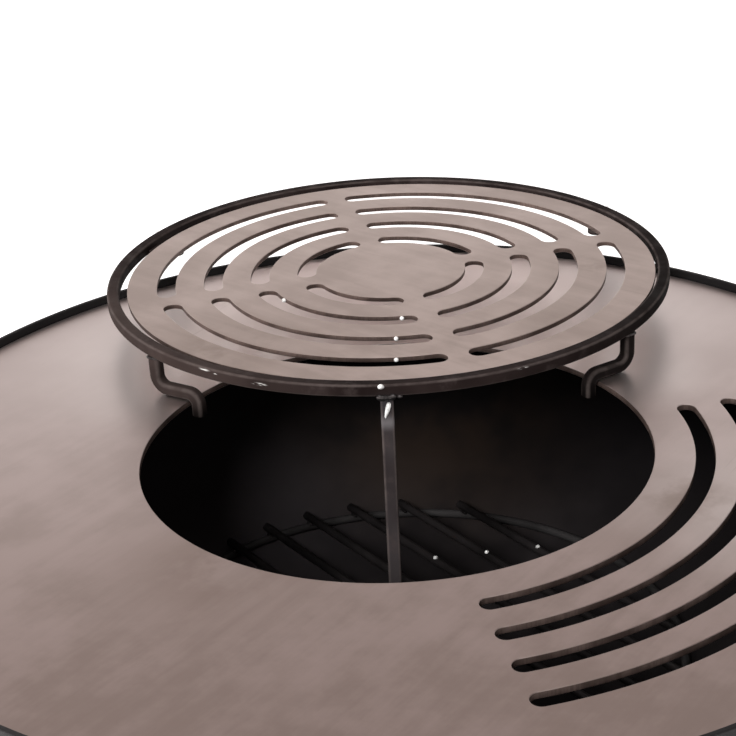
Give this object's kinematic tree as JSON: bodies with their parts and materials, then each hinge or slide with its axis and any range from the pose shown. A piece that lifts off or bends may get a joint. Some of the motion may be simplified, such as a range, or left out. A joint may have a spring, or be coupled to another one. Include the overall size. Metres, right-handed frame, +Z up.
{
  "type": "fire pit with grate",
  "caption": "Dished fire bowl on a pedestal with a loose slotted cooking plate, a swivelling raised grill over its rim and a rod fire grate inside.",
  "frame": {"origin": "on the pit's vertical axis, at the underside of the base plate", "axes": "+Z up along the pit's axis; +Y from the axis towards the centre of the raised grill at rest; +X to the right seen from the front"},
  "size_m": [0.81, 0.904, 0.792],
  "materials": {
    "black_paint": "satin heat-resistant black",
    "plate_steel": "raw ground steel, semi-gloss",
    "disc_steel": "raw laser-cut steel, satin",
    "bar_steel": "hot-rolled, dark mill scale",
    "sooty_steel": "hot-rolled, sooty"
  },
  "bodies": {
    "base": {"base_plate": "black_paint", "pedestal_tube": "black_paint", "base_rib_1": "black_paint", "base_rib_2": "black_paint", "base_rib_3": "black_paint", "base_rib_4": "black_paint", "bowl_dish": "black_paint", "bowl_collar": "black_paint", "plate_lug_1": "black_paint", "plate_lug_2": "black_paint", "plate_lug_3": "black_paint", "plate_lug_4": "black_paint", "pivot_socket": "sooty_steel"},
    "plate": {"cooking_plate": "plate_steel"},
    "riser": {"riser_ring": "bar_steel", "riser_leg_left": "bar_steel", "riser_leg_right": "bar_steel", "riser_post": "bar_steel", "disc_tab_1": "bar_steel", "disc_tab_2": "bar_steel", "disc_tab_3": "bar_steel"},
    "disc": {"grill_disc": "disc_steel"},
    "fire_grate": {"fire_grate_ring": "sooty_steel", "fire_grate_bar_01": "sooty_steel", "fire_grate_bar_02": "sooty_steel", "fire_grate_bar_03": "sooty_steel", "fire_grate_bar_04": "sooty_steel", "fire_grate_bar_05": "sooty_steel", "fire_grate_bar_06": "sooty_steel", "fire_grate_bar_07": "sooty_steel", "fire_grate_bar_08": "sooty_steel", "fire_grate_bar_09": "sooty_steel", "fire_grate_bar_10": "sooty_steel"}
  },
  "joints": [
    {"name": "plate_lift", "type": "slide", "parent": "base", "child": "plate", "axis": [0, 0, 1], "range_m": [0, 0.25]},
    {"name": "riser_swivel", "type": "hinge", "parent": "plate", "child": "riser", "pos_m": [0, 0, 0.75], "axis": [0, 0, 1], "continuous": true},
    {"name": "disc_lift", "type": "slide", "parent": "riser", "child": "disc", "axis": [0, 0, 1], "range_m": [0, 0.15]},
    {"name": "fire_grate_lift", "type": "slide", "parent": "base", "child": "fire_grate", "axis": [0, 0, 1], "range_m": [0, 0.03]}
  ]
}
